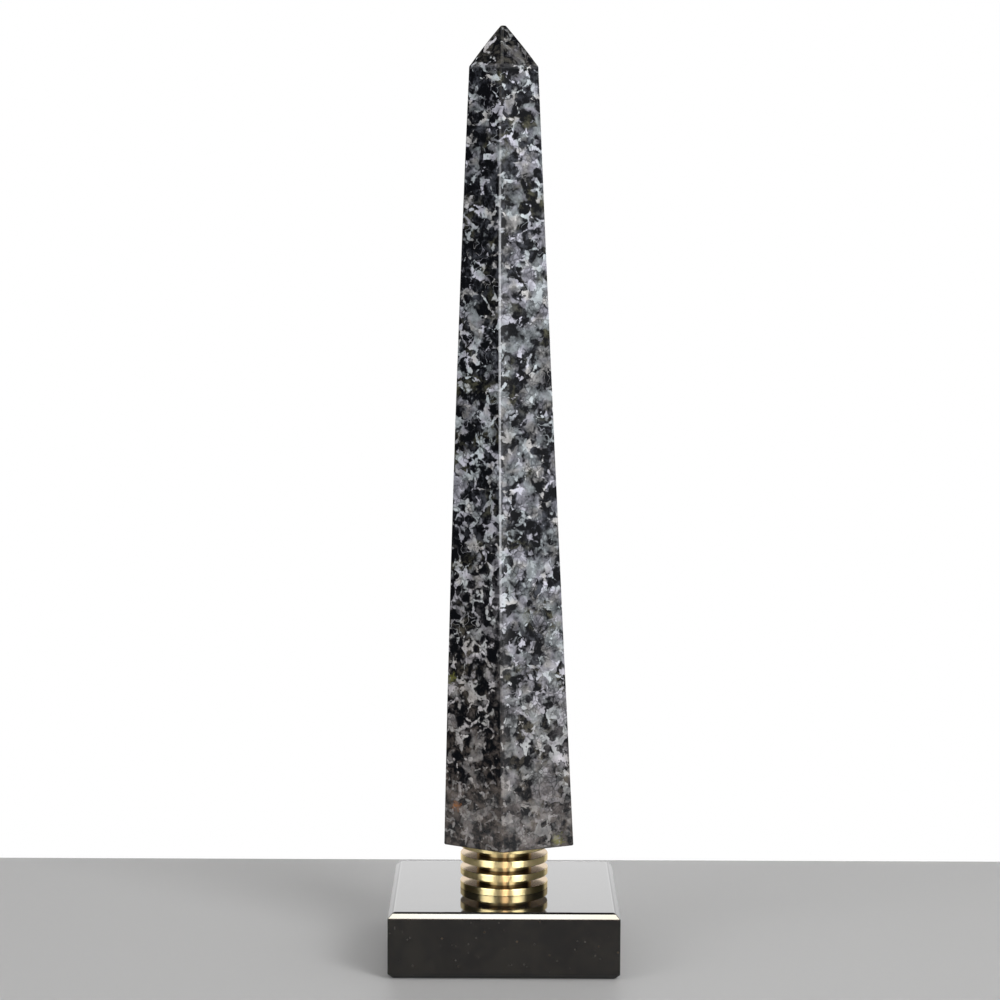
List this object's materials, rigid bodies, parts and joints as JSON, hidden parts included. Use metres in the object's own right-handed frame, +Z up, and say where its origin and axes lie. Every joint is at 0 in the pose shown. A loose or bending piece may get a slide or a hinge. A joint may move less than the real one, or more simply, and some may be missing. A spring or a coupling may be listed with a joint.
{
  "type": "stone obelisk table ornament",
  "caption": "Tall six-sided polished stone obelisk with a pointed tip, standing on a stack of brass discs on a bevelled granite slab.",
  "frame": {"origin": "middle of the granite slab's underside, on the rod's axis", "axes": "+Z up along the rod, -Y the front, where one of the stone's corners faces the viewer"},
  "size_m": [0.102, 0.102, 0.4166],
  "materials": {
    "gabbro": "polished",
    "granite": "polished",
    "brass": "polished",
    "zinc_steel": "satin"
  },
  "bodies": {
    "root": {"obelisk_stone": "gabbro", "brass_disc_1": "brass", "brass_disc_2": "brass", "brass_disc_3": "brass", "brass_disc_4": "brass", "brass_spacer_1": "brass", "brass_spacer_2": "brass", "brass_spacer_3": "brass", "granite_base": "granite", "threaded_rod": "zinc_steel", "steel_washer": "zinc_steel", "hex_nut": "zinc_steel"}
  },
  "joints": []
}
